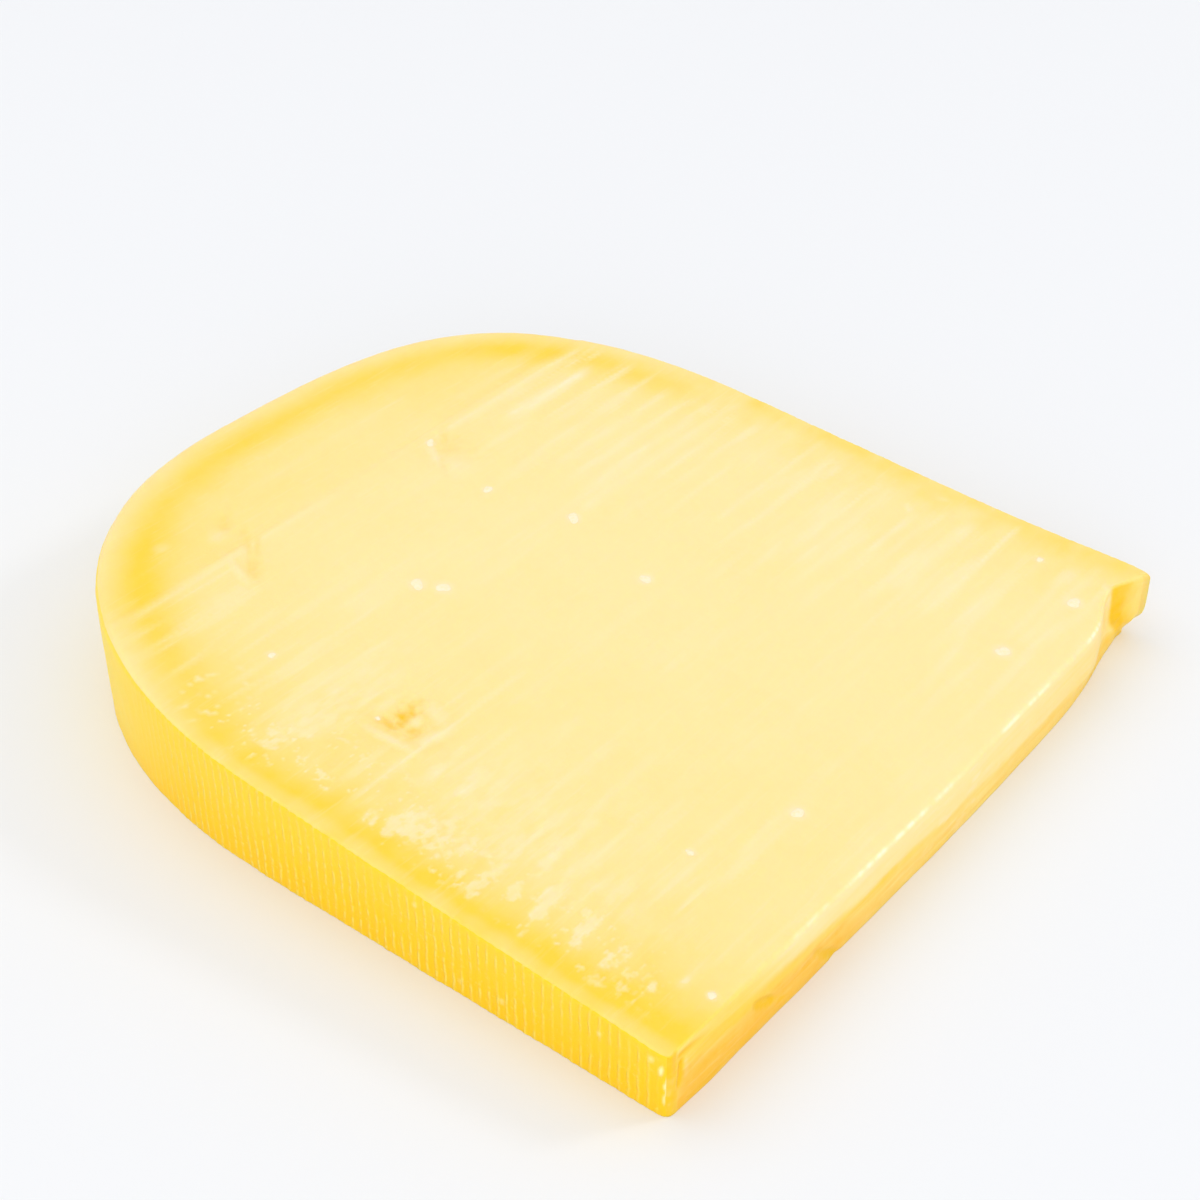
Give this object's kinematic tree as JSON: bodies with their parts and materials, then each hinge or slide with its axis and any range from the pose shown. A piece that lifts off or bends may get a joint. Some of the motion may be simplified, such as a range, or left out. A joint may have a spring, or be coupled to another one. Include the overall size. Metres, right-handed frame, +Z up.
{
  "type": "cheese wedge",
  "caption": "D-shaped slanted slice of pale yellow cheese, ribbed straight sides, curved rim, thin flat tip end, lying flat on its cut face.",
  "frame": {"origin": "middle of the bounding box's underside, on the flat cut face that the slice rests on", "axes": "+X from the thin tip face to the curved rim, +Y towards the front ribbed side, +Z up through the thickness"},
  "size_m": [0.1196, 0.11, 0.0183],
  "materials": {
    "cheese": "pale golden yellow paste, semi-hard, soft satin sheen on the cut faces, deeper gold towards the rind and ribbed sides",
    "crystals": "small cream-white ripening crystals, chalky"
  },
  "bodies": {
    "root": {"cheese_wedge": "cheese"}
  },
  "joints": []
}
